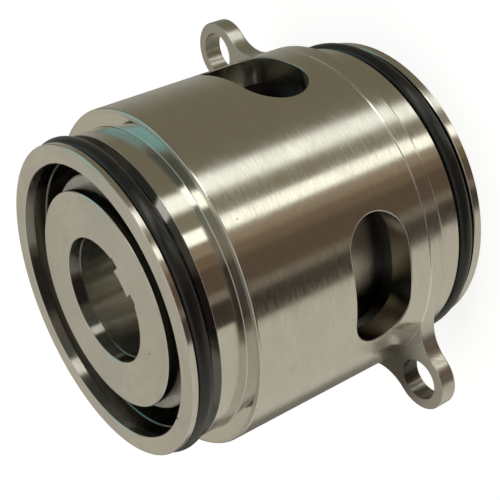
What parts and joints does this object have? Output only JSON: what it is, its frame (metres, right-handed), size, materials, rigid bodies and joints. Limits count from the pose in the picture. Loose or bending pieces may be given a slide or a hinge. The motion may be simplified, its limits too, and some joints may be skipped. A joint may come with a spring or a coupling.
{
  "type": "cartridge mechanical seal",
  "caption": "Cartridge mechanical seal: slotted steel barrel with bolt ears, rubber-ringed end spigots and a rotating shaft sleeve with sprung face rings inside.",
  "frame": {"origin": "on the shaft axis, in the plane of the rear end flange's resting face", "axes": "+Z along the shaft axis from the rear flange to the front spigot, +X through one bolt ear"},
  "size_m": [0.0976, 0.07, 0.0713],
  "materials": {
    "stainless": "fine turned satin",
    "black_rubber": "soft sheen",
    "spring_wire": "bright wire",
    "carbide": "lapped",
    "carbon": "lapped matte"
  },
  "bodies": {
    "housing": {"casing": "stainless", "gland_plate": "stainless", "front_oring": "black_rubber", "rear_oring": "black_rubber", "cover_oring": "black_rubber", "spring_carrier": "stainless", "front_springs": "spring_wire", "rear_springs": "spring_wire", "front_stop_pins": "stainless", "rear_stop_pins": "stainless"},
    "rotor": {"shaft_sleeve": "stainless", "front_rotary_ring": "carbide", "front_rotary_oring": "black_rubber", "front_drive_pins": "stainless", "rear_rotary_ring": "carbide", "rear_rotary_oring": "black_rubber", "rear_drive_pins": "stainless", "rear_holder": "stainless", "retaining_ring": "stainless", "shaft_orings": "black_rubber"},
    "front_seal": {"front_static_ring": "carbon", "front_static_oring": "black_rubber"},
    "rear_seal": {"rear_static_ring": "carbon", "rear_static_oring": "black_rubber"}
  },
  "joints": [
    {"name": "rotor_spin", "type": "hinge", "parent": "housing", "child": "rotor", "pos_m": [0, 0, 0.035], "axis": [0, 0, 1], "continuous": true},
    {"name": "front_seal_slide", "type": "slide", "parent": "housing", "child": "front_seal", "axis": [0, 0, -1], "range_m": [0, 0.0015], "stiffness_N_per_m": 2000, "springref_m": -0.006, "deforming": ["front_springs"]},
    {"name": "rear_seal_slide", "type": "slide", "parent": "housing", "child": "rear_seal", "axis": [0, 0, 1], "range_m": [0, 0.0015], "stiffness_N_per_m": 2000, "springref_m": -0.006, "deforming": ["rear_springs"]}
  ]
}
